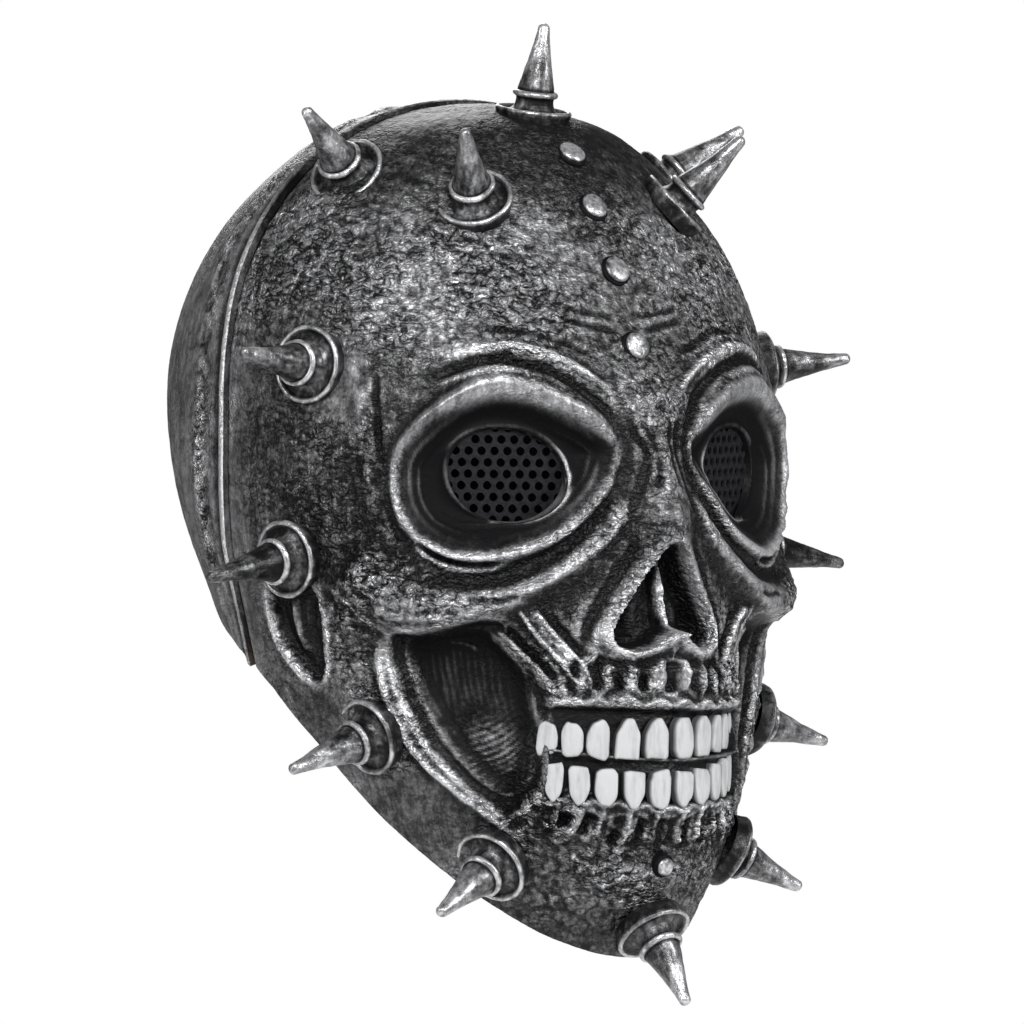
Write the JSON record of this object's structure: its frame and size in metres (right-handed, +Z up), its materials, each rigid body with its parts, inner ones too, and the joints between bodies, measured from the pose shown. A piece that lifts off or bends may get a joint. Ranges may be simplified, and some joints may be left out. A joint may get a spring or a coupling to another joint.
{
  "type": "halloween mask",
  "caption": "Full-head latex halloween mask: spiked skull with dished-base spikes, mesh eyes, bared teeth and a slit rear hood",
  "frame": {"origin": "centre of the head cavity at eye level, in line with the temple spikes", "axes": "+Z up, the face looks to -Y, +X is the wearer's left"},
  "size_m": [0.265, 0.222, 0.3099],
  "materials": {
    "face_latex": "black latex, wrinkled, silver dry-brushed on the high spots",
    "hood_latex": "black latex, smoother, light silver dry-brushing",
    "eye_mesh": "matt black perforated mesh",
    "adhesive": "dull black adhesive bead",
    "spike_latex": "black latex dry-brushed with silver",
    "rivet_latex": "black latex brushed with silver",
    "tooth_paint": "brush-painted off-white over black latex"
  },
  "bodies": {
    "mask": {"face_shell": "face_latex", "hood_crown": "hood_latex", "eye_mesh_left": "eye_mesh", "eye_mesh_right": "eye_mesh", "eye_bond_left": "adhesive", "eye_bond_right": "adhesive", "spike_crown_top": "spike_latex", "spike_chin": "spike_latex", "spike_crown_rear_left": "spike_latex", "spike_crown_rear_right": "spike_latex", "spike_crown_front_left": "spike_latex", "spike_crown_front_right": "spike_latex", "spike_temple_left": "spike_latex", "spike_temple_right": "spike_latex", "spike_ear_left": "spike_latex", "spike_ear_right": "spike_latex", "spike_jaw_left": "spike_latex", "spike_jaw_right": "spike_latex", "spike_jaw_lower_left": "spike_latex", "spike_jaw_lower_right": "spike_latex", "rivet_forehead_1": "rivet_latex", "rivet_forehead_2": "rivet_latex", "rivet_forehead_3": "rivet_latex", "rivet_forehead_4": "rivet_latex", "rivet_chin": "rivet_latex", "teeth_upper": "tooth_paint", "teeth_lower": "tooth_paint"},
    "flap_left": {"hood_flap_left": "hood_latex"},
    "flap_right": {"hood_flap_right": "hood_latex"}
  },
  "joints": [
    {"name": "flap_left_fold", "type": "hinge", "parent": "mask", "child": "flap_left", "pos_m": [0.01457, 0.1539, 0.03738], "axis": [0.564, -0.4901, -0.6647], "range_deg": [0, 35], "stiffness_Nm_per_rad": 0.4},
    {"name": "flap_right_fold", "type": "hinge", "parent": "mask", "child": "flap_right", "pos_m": [-0.01457, 0.1539, 0.03738], "axis": [0.564, 0.4901, 0.6647], "range_deg": [0, 35], "stiffness_Nm_per_rad": 0.4}
  ]
}
